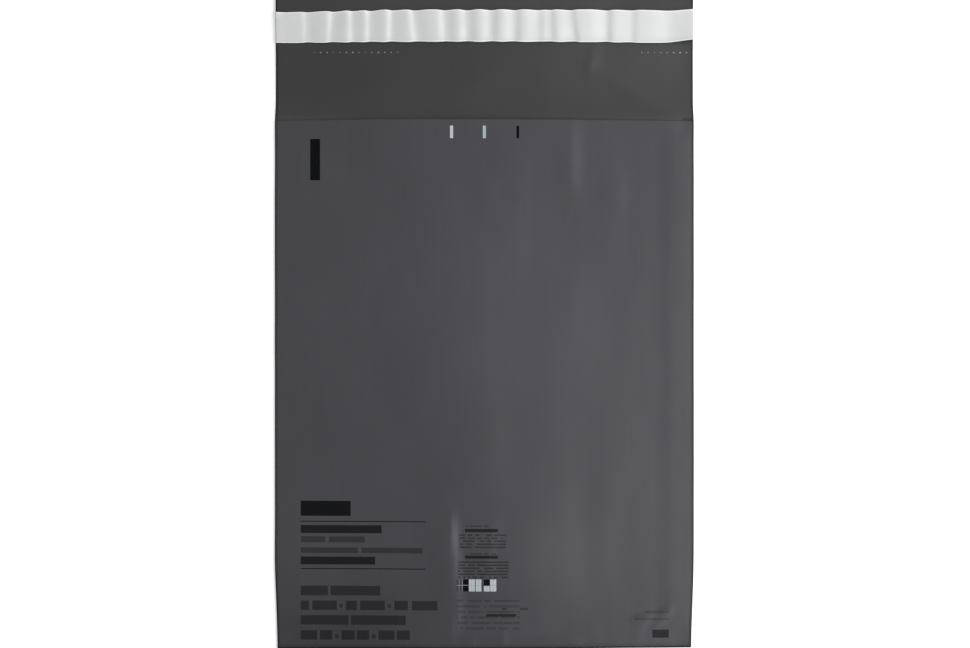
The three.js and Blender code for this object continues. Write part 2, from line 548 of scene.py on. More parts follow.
def web_columns(at):
    """Places across the web, with more at the welds and round the side edges, and the first and last
    column of the pocket's inside."""
    inner_edge = at.half_width - RIM_RADIUS - RIM_SUPPORT
    weld_shares = [step / (COLUMNS_IN_WELD + 1) for step in range(1, COLUMNS_IN_WELD + 1)]
    side = [lerp(at.half_inside, inner_edge, share) for share in weld_shares]
    side += [at.half_width - distance for distance in rim_steps(RIM_RADIUS)]
    pocket_shares = [step / COLUMNS_ACROSS for step in range(COLUMNS_ACROSS + 1)]
    inside = [lerp(-at.half_inside, at.half_inside, share) for share in pocket_shares]
    columns = [-x for x in reversed(side)] + inside + side
    return columns, len(side), len(side) + COLUMNS_ACROSS


def web_mesh(shape):
    """The whole web as one closed shell: front panel, fold, back panel, flap, welds and the pocket inside."""
    at = Places(shape)
    draft = Draft()
    columns, first, last = web_columns(at)
    lip = LIP_DEPTH
    pocket_rows = rim_values(at.fold, at.mouth - lip, ROW_STEP, FOLD_RADIUS, 0)
    pocket_rows.insert(-1, at.mouth - lip - RIM_SUPPORT)
    flap_rows = rim_values(at.mouth, at.flap_end, ROW_STEP, 0, RIM_RADIUS)

    def side_fullness(x):
        return fullness(at.half_width - abs(x), RIM_RADIUS)

    def place(x, y, z):
        near = min(at.half_width - abs(x), (y - at.fold) * FOLD_LINE_SHARE)
        # Darker rim: painted shade at the fold, and at the welds partly painted shade and partly the melt
        melted_and_shaded = 1 - smooth(near, MELTED_AND_SHADED_CORE, MELTED_AND_SHADED_RIM)
        return draft.corner(*at.settled(x, y, z), melted_and_shaded, at.painted_light(x, y))

    def row_between(y, under, over, end_fullness):
        """Upper and lower corners of one row, which meet at a rounded rim."""
        upper = []
        lower = []
        for x in columns:
            low = under(x, y)
            high = over(x, y)
            full = side_fullness(x) * end_fullness
            middle = (low + high) / 2
            half = (high - low) / 2 * full
            upper.append(place(x, y, middle + half))
            lower.append(place(x, y, middle - half) if half > 0 else upper[-1])
        return upper, lower

    top = []
    bottom = []
    for y in pocket_rows:
        upper, lower = row_between(y, at.underside, at.front_top, fullness(y - at.fold, FOLD_RADIUS))
        top.append(upper)
        bottom.append(lower)

    flap = []
    for y in flap_rows:
        upper, lower = row_between(y, at.flap_lift, at.flap_top, fullness(at.flap_end - y, RIM_RADIUS))
        flap.append(upper)
        bottom.append(lower)

    # The lip of the mouth: round on the pocket, a step down to the flap on the welds
    for step in range(1, STEPS_ROUND_LIP + 1):
        turn = step / STEPS_ROUND_LIP * math.pi
        share = (1 - math.cos(turn)) / 2
        row = []
        for column, x in enumerate(columns):
            if first < column < last:
                radius = at.front_thickness(x) / 2
                middle = at.front_top(x, at.mouth) - radius
                y = at.mouth - lip + lip * math.sin(turn)
                row.append(place(x, y, middle + radius * math.cos(turn)))
            elif step == STEPS_ROUND_LIP:
                row.append(flap[0][column])
            else:
                full = side_fullness(x)
                high = lerp(at.front_top(x, at.mouth), at.web, share)
                row.append(place(x, at.mouth - lip + lip * share, high / 2 * (1 + full)))
        top.append(row)

    # Inside of the pocket: the ceiling is the front panel's inner face, the floor the back panel's
    inside_columns = columns[first : last + 1]
    inside_rows = [lerp(at.mouth, at.crease, step / ROWS_INSIDE) for step in range(ROWS_INSIDE + 1)]
    ceiling = [top[-1][first : last + 1]]
    floor = [flap[0][first : last + 1]]
    for y in inside_rows[1:-1]:
        floor_row = [place(x, y, at.web + at.underside(x, y)) for x in inside_columns]
        ceiling_row = [floor_row[0]]
        for x in inside_columns[1:-1]:
            high = at.front_top(x, y) - at.front_thickness(x)
            ceiling_row.append(place(x, y, max(high, at.web + at.underside(x, y))))
        ceiling_row.append(floor_row[-1])
        ceiling.append(ceiling_row)
        floor.append(floor_row)
    crease_row = [place(x, at.crease, at.web + at.underside(x, at.crease)) for x in inside_columns]
    ceiling.append(crease_row)
    floor.append(crease_row)

    # The faces of each part, laid out on the baked map
    lip_run = [at.mouth - lip + lip * step * LIP_MAP_STEP for step in range(1, STEPS_ROUND_LIP + 1)]
    draft.sheet(top, pocket_rows + lip_run, columns, FRONT_CHART, PRINTED)
    draft.sheet(flap, flap_rows, columns, FLAP_CHART, PLAIN, swapped=True)
    back_rows = pocket_rows + flap_rows
    step_row = len(pocket_rows) - 1
    left_open = {(step_row, 0), (step_row, len(columns) - 2)}
    draft.sheet(bottom, back_rows, columns, BACK_CHART, PLAIN, turned=True, skip=left_open)
    inside_run = range(ROWS_INSIDE + 1)
    draft.sheet(ceiling, inside_run, inside_columns, CEILING_CHART, PLAIN)
    draft.sheet(floor, inside_run, inside_columns, FLOOR_CHART, PLAIN, turned=True)

    # The two side faces at the mouth's step, which take in the lip's corners
    back_run = travelled(back_rows, BACK_CHART[2], BACK_CHART[3])
    back_across = travelled(columns, BACK_CHART[0], BACK_CHART[1])
    lip_rows = top[step_row : step_row + STEPS_ROUND_LIP + 1]
    heights = travelled(range(STEPS_ROUND_LIP + 1), back_run[step_row], back_run[step_row + 1])
    near = bottom[step_row]
    far = bottom[step_row + 1]
    left = [row[0] for row in lip_rows] + [far[1], near[1]]
    left_chart = [(back_across[0], height) for height in heights]
    left_chart += [(back_across[1], heights[-1]), (back_across[1], heights[0])]
    draft.face(left, left_chart, PLAIN)
    right = [near[-2], far[-2]] + [row[-1] for row in reversed(lip_rows)]
    right_chart = [(back_across[-2], heights[0]), (back_across[-2], heights[-1])]
    right_chart += [(back_across[-1], height) for height in reversed(heights)]
    draft.face(right, right_chart, PLAIN)
    return draft.mesh("mailer_web_film")


# A strip is cut into this many lengths on the baked map, so that it fills the square
STRIP_LENGTHS = 5
MAP_GAP = 0.06
MAP_SIDE = 0.01
EDGE_CORE = 0.15 * MM


def even_values(low, high, count):
    """Places from low to high, a whole number of even steps apart."""
    return [lerp(low, high, step / count) for step in range(count + 1)]


def with_edges(values, gap):
    """The values, with one more at a small gap from each end."""
    return [values[0], values[0] + gap] + values[1:-1] + [values[-1] - gap, values[-1]]


def strip_mesh(name, across, along, under, over, place, edge_reach):
    """A closed thin strip whose upper and lower faces meet along its rim. Its edge is marked as far in
    as edge_reach."""
    draft = Draft()
    upper = []
    lower = []
    for row, y in enumerate(along):
        upper_row = []
        lower_row = []
        edge = 1 - smooth(min(y - along[0], along[-1] - y), EDGE_CORE, edge_reach)
        for column, x in enumerate(across):
            low = under(x, y)
            high = over(x, y)
            if row in (0, len(along) - 1) or column in (0, len(across) - 1):
                corner = draft.corner(*place(x, y, (low + high) / 2), edge)
                upper_row.append(corner)
                lower_row.append(corner)
            else:
                upper_row.append(draft.corner(*place(x, y, high), edge))
                lower_row.append(draft.corner(*place(x, y, low), edge))
        upper.append(upper_row)
        lower.append(lower_row)
    chunk = math.ceil((len(across) - 1) / STRIP_LENGTHS)
    for index in range(STRIP_LENGTHS):
        begin = index * chunk
        end = min(begin + chunk, len(across) - 1) + 1
        for side, rows in enumerate((upper, lower)):
            slot = index * 2 + side
            bottom = (slot + MAP_GAP) / (2 * STRIP_LENGTHS)
            top = (slot + 1 - MAP_GAP) / (2 * STRIP_LENGTHS)
            part = [row[begin:end] for row in rows]
            chart = (MAP_SIDE, 1 - MAP_SIDE, bottom, top)
            draft.sheet(part, range(len(along)), across[begin:end], chart, turned=side == 1)
    return draft.mesh(name)


BAND_STEP = 2.2 * MM
BAND_EDGE = 0.25 * MM
BAND_RIM = 1.0 * MM
BAND_UNEVENNESS = 0.1


def band_mesh(shape):
    """The hot-melt band, with the slightly uneven edge and top that a nozzle leaves."""
    at = Places(shape)
    size = BAND_HIGH - BAND_LOW
    across = with_edges(even_values(BAND_LOW.x, BAND_HIGH.x, round(size.x / BAND_STEP)), BAND_EDGE)
    along = with_edges(even_values(BAND_LOW.y, BAND_HIGH.y, round(size.y / BAND_STEP)), BAND_EDGE)
    middle = (BAND_LOW.y + BAND_HIGH.y) / 2

    def over(x, y):
        thickness = size.z * (1 - BAND_UNEVENNESS + BAND_UNEVENNESS * BAND_SWELL.share(x, y))
        return at.flap_top(x, y) + thickness

    def place(x, y, z):
        edge = (y - middle) / (size.y / 2)
        drawn = BAND_WANDER.lift(x, edge) * abs(edge)
        return at.settled(x, y + drawn + liner_bow(at, x), z)

    return strip_mesh("hot_melt_film", across, along, at.flap_top, over, place, BAND_RIM)


LINER_STEP = 1.0 * MM
LINER_ROWS = 14
LINER_EDGE = 0.12 * MM
LINER_THICKNESS = 0.14 * MM
LINER_RIM = 0.9 * MM
LINER_EDGE_ROWS = (LINER_EDGE, 0.45 * MM, LINER_RIM)
# How far the liner lies in from the bag's left edge and down from its place in the CAD
LINER_INSET = 0.3 * MM
LINER_DROP = 0.8 * MM
# How far the liner runs off straight at both ends, and how far in
LEFT_BOW = 0.7 * MM
LEFT_BOW_REACH = 75 * MM
RIGHT_BOW = 0.3 * MM
RIGHT_BOW_REACH = 24 * MM
RIGHT_BOW_SHARE = 0.86
# Where the liner is pinched down on its band, in millimetres from its left end: the first place and
# from one to the next. Between them it stands up in ripples.
FIRST_PINCH = 20.5
PINCH_GAPS = (16, 13, 11, 14, 15, 19, 14, 15, 15, 15, 8, 14, 22, 16)
PINCH_DEPTHS = (0.6, 0.85, 0.9, 0.95, 0.95, 0.95, 0.95, 0.95, 0.9, 0.9, 0.65, 0.75, 0.8, 0.8, 0.6)
PINCH_SHARE = 0.72
PINCH_SLANT = 2.2
PINCH_FADE = 0.3
STEEP_WALL = 2.6
GENTLE_WALL = 6.5
SKEW_FROM = 70
SKEW_TO = 190
# The ripples are low at the left end, full further in and lower again before the right end
LEFT_END_SHARE = 0.3
FULL_FROM = 6
FULL_TO = 60
CALM_SHARE = 0.6
CALM_FROM = 238
CALM_TO = 256
# The curl of the long edges, the lifted right end and the upper left corner
CURL_FROM = 0.7
CURL_POWER = 1.5
TIP_LENGTH = 19 * MM
TIP_BEYOND = 5 * MM
TIP_DROOP = 0.3
TIP_SWING = 1.5 * MM
TIP_PINCH = 0.35 * MM
EAR_HEIGHT = 0.9 * MM
EAR_LENGTH = 5 * MM
EAR_FROM = 0.55
RIPPLE_DRAW = 0.4


def liner_bow(at, x):
    """How far the liner and its band run off straight along the flap."""
    left = 1 - smooth(x, -at.half_width, LEFT_BOW_REACH - at.half_width)
    right = bump(x, RIGHT_BOW_SHARE * at.half_width, RIGHT_BOW_REACH)
    return -LEFT_BOW * left - RIGHT_BOW * right


def ripple_lift(x, v):
    """Share of the full ripple height at a place in millimetres from the liner's left end. v runs
    from -1 at its lower edge to 1 at its upper one."""
    place = FIRST_PINCH
    skew = smooth(x, SKEW_FROM, SKEW_TO)
    calm = 1 - CALM_SHARE * smooth(x, CALM_FROM, CALM_TO)
    lift = LEFT_END_SHARE + (1 - LEFT_END_SHARE) * smooth(x, FULL_FROM, FULL_TO) * calm
    for index, depth in enumerate(PINCH_DEPTHS):
        slant = PINCH_SLANT * noise.noise(Vector((index * 3.7, 5.0, 2.0)))
        off = x + slant * v - place
        wall = lerp(STEEP_WALL, GENTLE_WALL, skew if off < 0 else 1 - skew)
        fade = 1 + PINCH_FADE * noise.noise(Vector((index * 1.9, 8.0, v)))
        lift -= PINCH_SHARE * depth * fade * bump(off, 0, wall)
        if index < len(PINCH_GAPS):
            place += PINCH_GAPS[index]
    return max(lift, 0.0)


def liner_mesh(shape):
    """The rippled release liner on its band, nearly flat at its left end and curled up at its right one."""
    at = Places(shape)
    low_x = LINER_LOW.x + LINER_INSET
    count = round((LINER_HIGH.x - low_x) / LINER_STEP)
    across = with_edges(even_values(low_x, LINER_HIGH.x, count), LINER_EDGE)
    low_y = LINER_LOW.y - LINER_DROP
    high_y = LINER_HIGH.y - LINER_DROP
    along = [low_y] + [low_y + gap for gap in LINER_EDGE_ROWS]
    along += even_values(low_y + LINER_RIM, high_y - LINER_RIM, LINER_ROWS)[1:-1]
    along += [high_y - gap for gap in reversed(LINER_EDGE_ROWS)] + [high_y]
    seat = LINER_LOW.z - WEB_THICKNESS

    def edge_share(y):
        return (y - (low_y + high_y) / 2) / ((high_y - low_y) / 2)

    def tip_share(x):
        return smooth(x, LINER_HIGH.x - TIP_LENGTH, LINER_HIGH.x + TIP_BEYOND)

    def ripple(x, v):
        return shape.ripple_height * ripple_lift((x - LINER_LOW.x) / MM, v)

    def under(x, y):
        v = edge_share(y)
        lift = ripple(x, v) + LINER_SWELL.raised(x, y)
        lift += shape.edge_curl * (max(abs(v) - CURL_FROM, 0) / (1 - CURL_FROM)) ** CURL_POWER
        lift += shape.end_curl * tip_share(x) * (1 - TIP_DROOP * v)
        ear = smooth(-x, -LINER_LOW.x - EAR_LENGTH, -LINER_LOW.x) * smooth(v, EAR_FROM, 1.0)
        return at.flap_top(x, y) + seat + lift + EAR_HEIGHT * ear

    def over(x, y):
        return under(x, y) + LINER_THICKNESS

    def place(x, y, z):
        v = edge_share(y)
        drawn = RIPPLE_DRAW * (ripple(x, v) - shape.ripple_height / 2) * v + LINER_WANDER.lift(x, v)
        drawn += (TIP_SWING - TIP_PINCH * v) * tip_share(x)
        return at.settled(x, y + liner_bow(at, x) + drawn, z)

    return strip_mesh("liner_film", across, along, under, over, place, LINER_RIM)


def math_node(operation, reflected=False, held=False):
    """A method of Field that adds one Math node. A reflected one has its two sides the other way round,
    and a held one stays between 0 and 1."""

    def method(self, *others):
        sides = (*others, self) if reflected else (self, *others)
        settings = {"operation": operation, "use_clamp": held}
        return self.finish.field("ShaderNodeMath", settings, dict(enumerate(sides)))

    return method


class Field:
    """A number that changes over a surface. Python's operators on it add Math nodes."""

    def __init__(self, finish, socket):
        self.finish = finish
        self.socket = socket

    __add__ = math_node("ADD")
    __radd__ = math_node("ADD", reflected=True)
    __sub__ = math_node("SUBTRACT")
    __rsub__ = math_node("SUBTRACT", reflected=True)
    __mul__ = math_node("MULTIPLY")
    __rmul__ = math_node("MULTIPLY", reflected=True)
    __truediv__ = math_node("DIVIDE")
    __rtruediv__ = math_node("DIVIDE", reflected=True)
    __pow__ = math_node("POWER")
    __abs__ = math_node("ABSOLUTE")
    __lt__ = math_node("LESS_THAN")
    __gt__ = math_node("GREATER_THAN")
    larger = math_node("MAXIMUM")
    floor = math_node("FLOOR")
    fraction = math_node("FRACT")
    held_sum = math_node("ADD", held=True)

    def held(self):
        """The number held between 0 and 1."""
        return self.held_sum(0.0)

    def rise(self, start, end):
        """0 up to start, 1 from end on, smooth between."""
        settings = {"interpolation_type": "SMOOTHSTEP"}
        inputs = {"Value": self, "From Min": start, "From Max": end}
        return self.finish.field("ShaderNodeMapRange", settings, inputs, "Result")


class Finish:
    """The nodes of a material or of the world, and the method that makes them."""

    def __init__(self, owner):
        owner.use_nodes = True
        self.owner = owner
        self.tree = owner.node_tree
        self.tree.nodes.clear()

    def node(self, kind, settings, inputs):
        """A node of this type. Its settings are set first, then its sockets' values and links."""
        made = self.tree.nodes.new(kind)
        for name, value in settings.items():
            setattr(made, name, value)
        for key, value in inputs.items():
            if isinstance(value, Field):
                self.tree.links.new(value.socket, made.inputs[key])
            elif isinstance(value, bpy.types.NodeSocket):
                self.tree.links.new(value, made.inputs[key])
            else:
                made.inputs[key].default_value = value
        return made

    def field(self, kind, settings, inputs, output=0):
        return Field(self, self.node(kind, settings, inputs).outputs[output])

    def place(self):
        """Where a point of the piece is, in millimetres: its three numbers as fields."""
        coordinates = self.node("ShaderNodeTexCoord", {}, {})
        parts = self.node("ShaderNodeSeparateXYZ", {}, {"Vector": coordinates.outputs["Object"]})
        return [Field(self, parts.outputs[axis]) / MM for axis in range(3)]

    def carried(self, name):
        """A number that the piece's corners carry."""
        return self.field("ShaderNodeAttribute", {"attribute_name": name}, {}, "Fac")

    def seen(self):
        """1 where the camera looks, straight, in a reflection or through glass, and 0 for light."""
        path = self.node("ShaderNodeLightPath", {}, {})
        rays = [Field(self, path.outputs[f"Is {kind} Ray"]) for kind in ("Camera", "Glossy", "Transmission")]
        return rays[0].larger(rays[1]).larger(rays[2])

    def point(self, x, y, z):
        return self.node("ShaderNodeCombineXYZ", {}, {"X": x, "Y": y, "Z": z}).outputs["Vector"]

    def noise(self, x, y, z, detail=2.0, roughness=0.5):
        """Smooth noise round 0.5 over a place whose numbers are in units of one swell."""
        inputs = {"Vector": self.point(x, y, z), "Scale": 1.0, "Detail": detail, "Roughness": roughness}
        return self.field("ShaderNodeTexNoise", {"noise_dimensions": "3D"}, inputs)

    def speckle(self, x, y):
        """A number from 0 to 1 that is unrelated from one place to the next."""
        inputs = {"Vector": self.point(x, y, 0.0)}
        return self.field("ShaderNodeTexWhiteNoise", {"noise_dimensions": "2D"}, inputs, "Value")

    def blend(self, share, first, second):
        """A colour between two colours."""
        settings = {"data_type": "RGBA", "blend_type": "MIX"}
        return self.node("ShaderNodeMix", settings, {0: share, 6: first, 7: second}).outputs[2]

    def shade(self, colour, share):
        """A colour made lighter or darker by a field round 1."""
        inputs = {0: colour, "Scale": share}
        return self.node("ShaderNodeVectorMath", {"operation": "SCALE"}, inputs).outputs["Vector"]

    def relief(self, height, distance, strength, under=None):
        inputs = {"Height": height, "Distance": distance, "Strength": strength}
        if under is not None:
            inputs["Normal"] = under
        return self.node("ShaderNodeBump", {}, inputs).outputs["Normal"]

    def principled(self, inputs):
        """A material's one shader, with its output."""
        shader = self.node("ShaderNodeBsdfPrincipled", {}, inputs)
        self.node("ShaderNodeOutputMaterial", {}, {"Surface": shader.outputs["BSDF"]})


class Bar(NamedTuple):
    """A plain printed bar, in millimetres from the bag's left edge and from its fold."""

    left: float
    right: float
    bottom: float
    top: float


class Line(NamedTuple):
    """Plain bars side by side, from one height to another. ink is how dark they print."""

    bottom: float
    top: float
    ink: float
    bars: tuple


LINES = (
    Line(83.8, 93.4, 0.95, ((16.3, 48.3),)),
    Line(80.0, 80.6, 0.9, ((16.3, 96.3),)),
    Line(72.8, 77.9, 0.85, ((16.3, 68.1),)),
    Line(66.9, 70.7, 0.5, ((16.3, 32.0), (34.4, 57.2))),
    Line(60.1, 63.6, 0.5, ((16.3, 52.8), (55.2, 94.3))),
    Line(52.8, 57.8, 0.85, ((16.3, 64.0),)),
    Line(49.8, 50.4, 0.9, ((16.3, 96.3),)),
    Line(33.0, 39.2, 0.62, ((16.3, 33.8), (35.4, 67.2))),
    Line(23.7, 29.7, 0.62, ((16.3, 21.6), (23.8, 39.4), (45.2, 52.2))),
    Line(23.7, 29.7, 0.62, ((54.3, 70.1), (76.2, 84.8), (87.4, 103.6))),
    Line(14.3, 20.3, 0.62, ((16.3, 47.0), (48.4, 83.5))),
    Line(4.7, 10.7, 0.62, ((16.3, 26.8), (28.6, 36.5), (42.4, 50.8))),
    Line(4.7, 10.7, 0.62, ((52.2, 60.0), (66.0, 76.2), (77.8, 86.0))),
    Line(25.2, 27.6, 0.5, ((41.0, 43.2), (71.9, 74.2))),
    Line(5.6, 8.2, 0.5, ((38.2, 40.6), (61.7, 64.3))),
    Line(73.9, 75.9, 0.8, ((121.2, 142.3),)),
    Line(57.0, 59.0, 0.8, ((121.2, 142.3),)),
    Line(20.0, 21.6, 0.75, ((134.6, 153.8),)),
    Line(24.2, 25.6, 0.5, ((144.9, 148.0), (156.2, 161.3))),
    Line(5.9, 11.1, 0.75, ((240.8, 251.4),)),
    Line(21.7, 23.0, 0.3, ((236.0, 251.7),)),
    Line(17.2, 18.5, 0.3, ((229.3, 251.7),)),
)
PRINT_ACROSS = -0.25
PRINT_UP = 1.1


class Paragraph(NamedTuple):
    """Thin printed lines, in millimetres. thick is the share of the pitch that a line fills."""

    left: float
    right: float
    bottom: float
    top: float
    pitch: float
    thick: float
    ink: float


PARAGRAPHS = (
    Paragraph(117.5, 147.4, 63.7, 73.3, 1.93, 0.55, 0.5),
    Paragraph(116.6, 149.0, 44.6, 56.2, 1.93, 0.55, 0.55),
    Paragraph(122.0, 138.0, 77.2, 79.1, 1.9, 0.5, 0.45),
    Paragraph(122.0, 141.0, 59.6, 61.5, 1.9, 0.5, 0.45),
    Paragraph(116.0, 156.0, 11.6, 33.0, 3.55, 0.4, 0.28),
)
WORD_GAP_SHARE = 0.16
SHORTEST_WORD = 1.5

# Printer's marks: the long dark bar by the mouth, the three ticks and the strip of ink squares
EYE_MARK = Bar(22.4, 28.7, 298.0, 324.3)
TICK_BOTTOM = 324.6
TICK_TOP = 332.6
PALE_TICK = Bar(111.7, 113.7, TICK_BOTTOM, TICK_TOP)
GREEN_TICK = Bar(132.6, 134.6, TICK_BOTTOM, TICK_TOP)
DARK_TICK = Bar(154.0, 155.8, TICK_BOTTOM, TICK_TOP)
SWATCH_BOTTOM = 36.1
SWATCH_TOP = 43.8
SWATCH_MIDDLE = 40.0


def square(left, right, bottom=SWATCH_BOTTOM, top=SWATCH_TOP):
    """A bar in the strip of ink squares, as high as the strip unless other heights are given."""
    return Bar(left, right, bottom, top)


DARK_SWATCHES = (square(115.9, 119.2), square(119.9, 123.5), square(133.3, 137.0, SWATCH_MIDDLE))
SWATCH_INKS = (0.45, 1.0, 1.0)
PALE_SWATCHES = (
    square(123.8, 127.6),
    square(128.1, 131.7),
    square(133.3, 137.0, top=SWATCH_MIDDLE - 0.35),
    square(137.3, 141.2),
)
# Thin lines through the squares: pale ones over the dark squares and dark ones over the pale squares
PALE_LINES = (
    square(115.9, 123.5, SWATCH_MIDDLE - 0.25, SWATCH_MIDDLE + 0.2),
    square(117.4, 117.7),
    square(119.35, 119.75),
)
DARK_LINES = (
    square(123.8, 131.7, SWATCH_MIDDLE - 0.2, SWATCH_MIDDLE + 0.1),
    square(125.5, 125.8),
    square(129.7, 130.0),
    square(135.0, 135.3, top=SWATCH_MIDDLE),
    square(137.3, 141.2, SWATCH_MIDDLE - 0.2, SWATCH_MIDDLE + 0.2),
    square(139.1, 139.4, SWATCH_MIDDLE),
)
PALE_LINE_SHARE = 0.45
DARK_LINE_SHARE = 0.35
GREEN_CAST = 0.35


def bar_mask(across, up, bar):
    """1 on a printed bar and 0 round it."""
    off_x = abs(across - (bar.left + bar.right) / 2)
    off_y = abs(up - (bar.bottom + bar.top) / 2)
    return (off_x < (bar.right - bar.left) / 2) * (off_y < (bar.top - bar.bottom) / 2)


def line_mask(across, up, line):
    """How much ink a line of bars lays on each place."""
    bars = None
    for left, right in line.bars:
        inside = abs(across - (left + right) / 2) < (right - left) / 2
        bars = inside if bars is None else bars + inside
    return bars * (abs(up - (line.bottom + line.top) / 2) < (line.top - line.bottom) / 2) * line.ink


def paragraph_mask(finish, across, up, text):
    """How much ink a paragraph of thin lines lays on each place. The lines are broken into plain
    lengths of uneven size."""
    rows = (up - text.bottom) / text.pitch
    stroke = rows.fraction() < text.thick
    cell = (across / SHORTEST_WORD).floor()
    words = finish.speckle(cell, rows.floor() + text.left) > WORD_GAP_SHARE
    return bar_mask(across, up, text) * stroke * words * text.ink


def dark_ink(finish, across, up):
    """How much dark ink lies on each place of the front panel."""
    total = bar_mask(across, up, EYE_MARK) + bar_mask(across, up, DARK_TICK)
    for line in LINES:
        total = total + line_mask(across, up, line)
    for text in PARAGRAPHS:
        total = total + paragraph_mask(finish, across, up, text)
    for square, ink in zip(DARK_SWATCHES, SWATCH_INKS):
        total = total + bar_mask(across, up, square) * ink
    return total.held()


def bars_mask(across, up, bars):
    """1 on any of some printed bars and 0 round them."""
    total = bar_mask(across, up, bars[0])
    for bar in bars[1:]:
        total = total.larger(bar_mask(across, up, bar))
    return total


def pale_ink(across, up):
    """How much pale ink lies on each place: the printer's pale squares and ticks."""
    squares = bars_mask(across, up, (PALE_TICK, GREEN_TICK, *PALE_SWATCHES))
    dark_lines = bars_mask(across, up, DARK_LINES) * DARK_LINE_SHARE
    return (squares - dark_lines + bars_mask(across, up, PALE_LINES) * PALE_LINE_SHARE).held()


# The film's shine: how strongly its two faces shine, and how softly
OUTER_SHEEN = 0.41
INNER_SHEEN = 0.56
SHEEN_ROUGHNESS = 0.38
FILM_ROUGHNESS = 0.40
FILM_GLOSS = 0.03
FILM_IOR = 1.5
FILM_RELIEF = 0.03 * MM
INK_PATCHINESS = 0.16

# Needle marks, in millimetres: below the liner, from one to the next, and their stretches from the left.
# Then half a mark's height, half its width as a share of the pitch, and how bright its painted glint is.
NEEDLE_DROP = 7.3
NEEDLE_PITCH = 4.1
NEEDLES_FROM = 20
NEEDLES_TO = 80
NEEDLES_AGAIN = 234
NEEDLE_HALF_HEIGHT = 0.35
NEEDLE_HALF_SHARE = 0.11
NEEDLE_GLINT = 0.45


def film_finish(name, colours, shape, printed):
    """Satin film: faint streaks along the web, a soft cloudiness, a fine grain, a darker rim and painted
    light and shade. The rim is painted shade at the fold, and at the welds partly painted shade and partly
    the hot knife's melt. The front panel also has its print."""
    at = Places(shape)
    finish = Finish(bpy.data.materials.new(name))
    x, y, z = finish.place()
    across = x + (at.half_width / MM - PRINT_ACROSS)
    up = y - (at.fold / MM + PRINT_UP)

    streaks = finish.noise(x / 1.3, y / 70, z / 9, 3.0, 0.6) - 0.5
    clouds = finish.noise(x / 42, y / 55, z / 30, 3.0, 0.55) - 0.5
    mottle = finish.noise(x / 7, y / 9, z / 8) - 0.5
    grain = finish.noise(x / 0.45, y / 0.6, z / 0.5, 2.0, 0.6) - 0.5
    scuffs = finish.noise(x / 9, y / 2.2, z / 9, 4.0, 0.7).rise(0.66, 0.78)
    # Darker rim: painted shade at the fold, and at the welds partly painted shade and partly the hot knife's
    # melt
    melted_and_shaded = finish.carried(EDGE)
    # Painted light and shade that the corners carry: paler for painted highlights, darker for painted shade
    painted_light_share = finish.carried(PAINTED_LIGHT)

    tone = 1 + streaks * 0.07 + clouds * 0.16 + mottle * 0.06 + grain * 0.10
    tone = tone * (1 - melted_and_shaded * 0.8) + scuffs * 0.03 + painted_light_share * 0.42
    colour = finish.shade(tuple(colours.film if printed else colours.inner_film), tone)
    rough = FILM_ROUGHNESS + streaks * 0.10 + clouds * 0.10 + grain * 0.06
    rough = rough - melted_and_shaded * 0.05 - painted_light_share * 0.08
    height = grain * 0.35 + mottle * 0.35 + streaks * 0.2
    sheen = OUTER_SHEEN if printed else INNER_SHEEN
    sheen = (sheen + clouds * 0.10 + streaks * 0.10 + painted_light_share * 0.15) * (1 - melted_and_shaded * 0.85)

    if printed:
        ink = dark_ink(finish, across, up)
        patchy = 1 - (finish.noise(x / 1.1, y / 1.1, 0.0) - 0.5) * INK_PATCHINESS
        colour = finish.blend((ink * patchy).held(), colour, (*colours.ink, 1.0))
        pale = pale_ink(across, up)
        greenish = bar_mask(across, up, GREEN_TICK).larger((up < SWATCH_TOP + 1) * GREEN_CAST)
        pale_colour = finish.blend(greenish, (*colours.pale_ink, 1.0), (*colours.green_ink, 1.0))
        colour = finish.blend((pale * patchy).held(), colour, pale_colour)
        rough = rough + ink * 0.04 + pale * 0.05
        sheen = sheen * (1 - ink * 0.95)
        height = height + (ink + pale) * 0.25
    else:
        # Needle marks just below the liner, near both of its ends: a faint emboss with painted glints, shown
        # only in stretches
        off_row = abs(y - (LINER_LOW.y / MM - NEEDLE_DROP) + 0.25 * clouds)
        in_row = off_row < NEEDLE_HALF_HEIGHT
        marks = in_row * (abs((x / NEEDLE_PITCH).fraction() - 0.5) < NEEDLE_HALF_SHARE)
        shown = (across > NEEDLES_FROM) * (across < NEEDLES_TO) + (across > NEEDLES_AGAIN)
        marks = marks * shown * finish.noise(x / 9, 0.0, 0.0).rise(0.36, 0.62) * NEEDLE_GLINT
        colour = finish.blend(marks, colour, (*colours.liner, 1.0))
        height = height + marks * 2
        rough = rough + 0.02

    finish.principled(
        {
            "Base Color": colour,
            "Roughness": rough,
            "Normal": finish.relief(height, FILM_RELIEF, 0.5),
            "IOR": FILM_IOR,
            "Specular IOR Level": FILM_GLOSS,
            "Coat Weight": sheen,
            "Coat Roughness": SHEEN_ROUGHNESS,
            "Coat IOR": FILM_IOR,
        }
    )
    return finish.owner


def band_finish(colours):
    """Hot melt: cream, tacky and faintly wavy from the nozzle, with small bubbles."""
    finish = Finish(bpy.data.materials.new("tacky_hot_melt"))
    x, y, z = finish.place()
    swirl = finish.noise(x / 3.5, y / 2.4, z, 3.0, 0.6)
    bubbles = finish.noise(x / 0.9, y / 0.9, z, 1.0, 0.5).rise(0.62, 0.72)
    tone = 1 + (swirl - 0.5) * 0.22 + bubbles * 0.06
    finish.principled(
        {
            "Base Color": finish.shade(tuple(colours.adhesive), tone),
            "Roughness": 0.22 + swirl * 0.18,
            "Normal": finish.relief(swirl + bubbles * 0.4, 0.1 * MM, 0.6),
            "IOR": 1.48,
        }
    )
    return finish.owner


